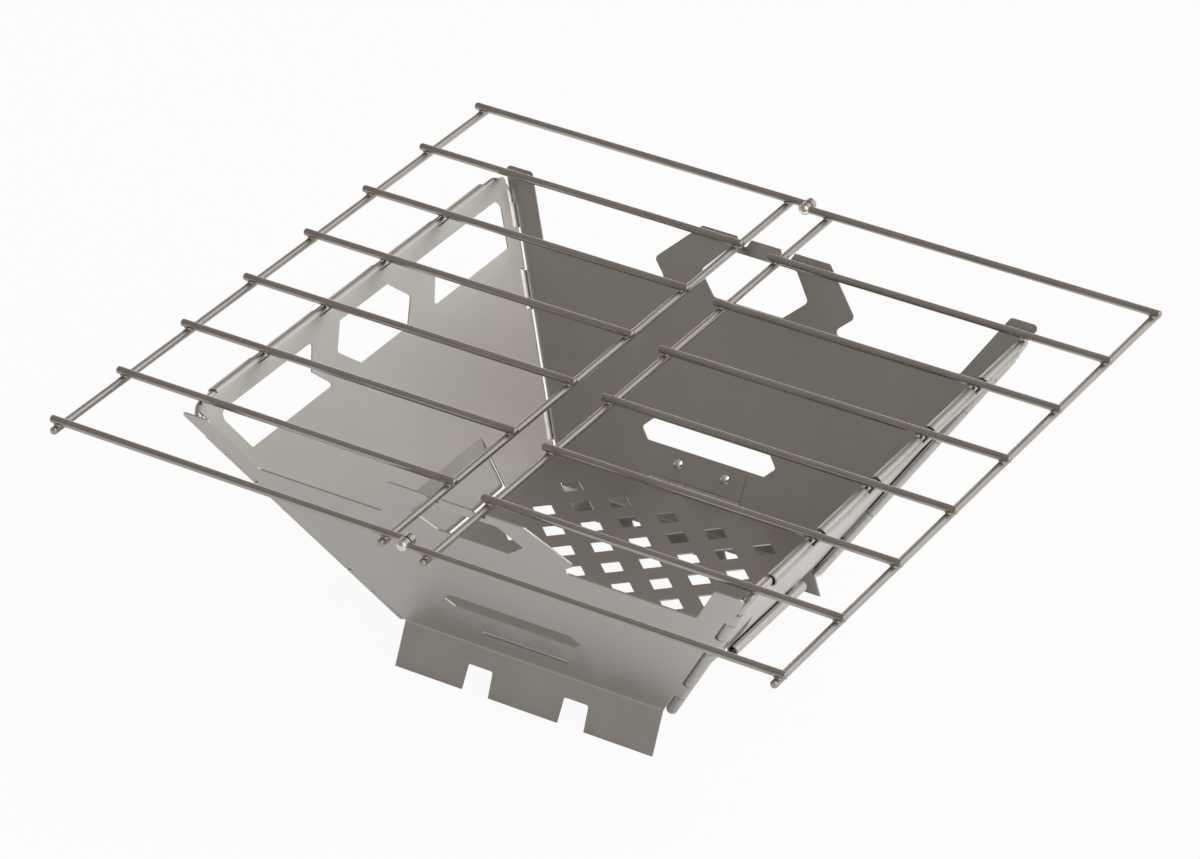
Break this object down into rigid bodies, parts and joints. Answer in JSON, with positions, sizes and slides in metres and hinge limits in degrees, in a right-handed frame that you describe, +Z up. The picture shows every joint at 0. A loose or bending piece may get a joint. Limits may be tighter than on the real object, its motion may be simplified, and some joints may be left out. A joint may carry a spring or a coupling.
{
  "type": "folding fire box grill",
  "caption": "Tapered fire box of stainless sheet on splayed feet, with hinged floor plate, corner rods, handle openings and a folding wire grate on top.",
  "frame": {"origin": "on the ground under the middle of the fire box", "axes": "+Z up, -Y towards the front wall with the air slot, +X towards the right grate panel"},
  "size_m": [0.516, 0.5084, 0.2013],
  "materials": {
    "sheet_steel": "brushed satin",
    "rod_steel": "drawn wire",
    "grate_wire": "drawn wire, dull",
    "rivet_steel": "pressed head"
  },
  "bodies": {
    "box": {"front_wall": "sheet_steel", "back_wall": "sheet_steel", "left_wall": "sheet_steel", "right_wall": "sheet_steel", "left_corner_rod": "rod_steel", "right_corner_rod": "rod_steel", "floor_hinge_leaf": "sheet_steel", "floor_hinge_pin": "rod_steel", "floor_hinge_rivets": "rivet_steel"},
    "floor": {"floor_plate": "sheet_steel"},
    "grate_left": {"grate_left_inner_rail": "grate_wire", "grate_left_outer_rail": "grate_wire", "grate_left_bar_1": "grate_wire", "grate_left_bar_2": "grate_wire", "grate_left_bar_3": "grate_wire", "grate_left_bar_4": "grate_wire", "grate_left_bar_5": "grate_wire", "grate_left_bar_6": "grate_wire", "grate_left_bar_7": "grate_wire", "grate_left_bar_8": "grate_wire", "grate_hinge_rivet_front": "rivet_steel", "grate_hinge_rivet_back": "rivet_steel"},
    "grate_right": {"grate_right_inner_rail": "grate_wire", "grate_right_outer_rail": "grate_wire", "grate_right_bar_1": "grate_wire", "grate_right_bar_2": "grate_wire", "grate_right_bar_3": "grate_wire", "grate_right_bar_4": "grate_wire", "grate_right_bar_5": "grate_wire", "grate_right_bar_6": "grate_wire", "grate_right_bar_7": "grate_wire", "grate_right_bar_8": "grate_wire"}
  },
  "joints": [
    {"name": "floor_fold", "type": "hinge", "parent": "box", "child": "floor", "pos_m": [0, 0.10489, 0.0501], "axis": [-1, 0, 0], "range_deg": [0, 38]},
    {"name": "grate_lift", "type": "slide", "parent": "box", "child": "grate_left", "axis": [0, 0, 1], "range_m": [0, 0.25]},
    {"name": "grate_fold", "type": "hinge", "parent": "grate_left", "child": "grate_right", "pos_m": [0, 0, 0.1973], "axis": [0, -1, 0], "range_deg": [0, 180]}
  ]
}
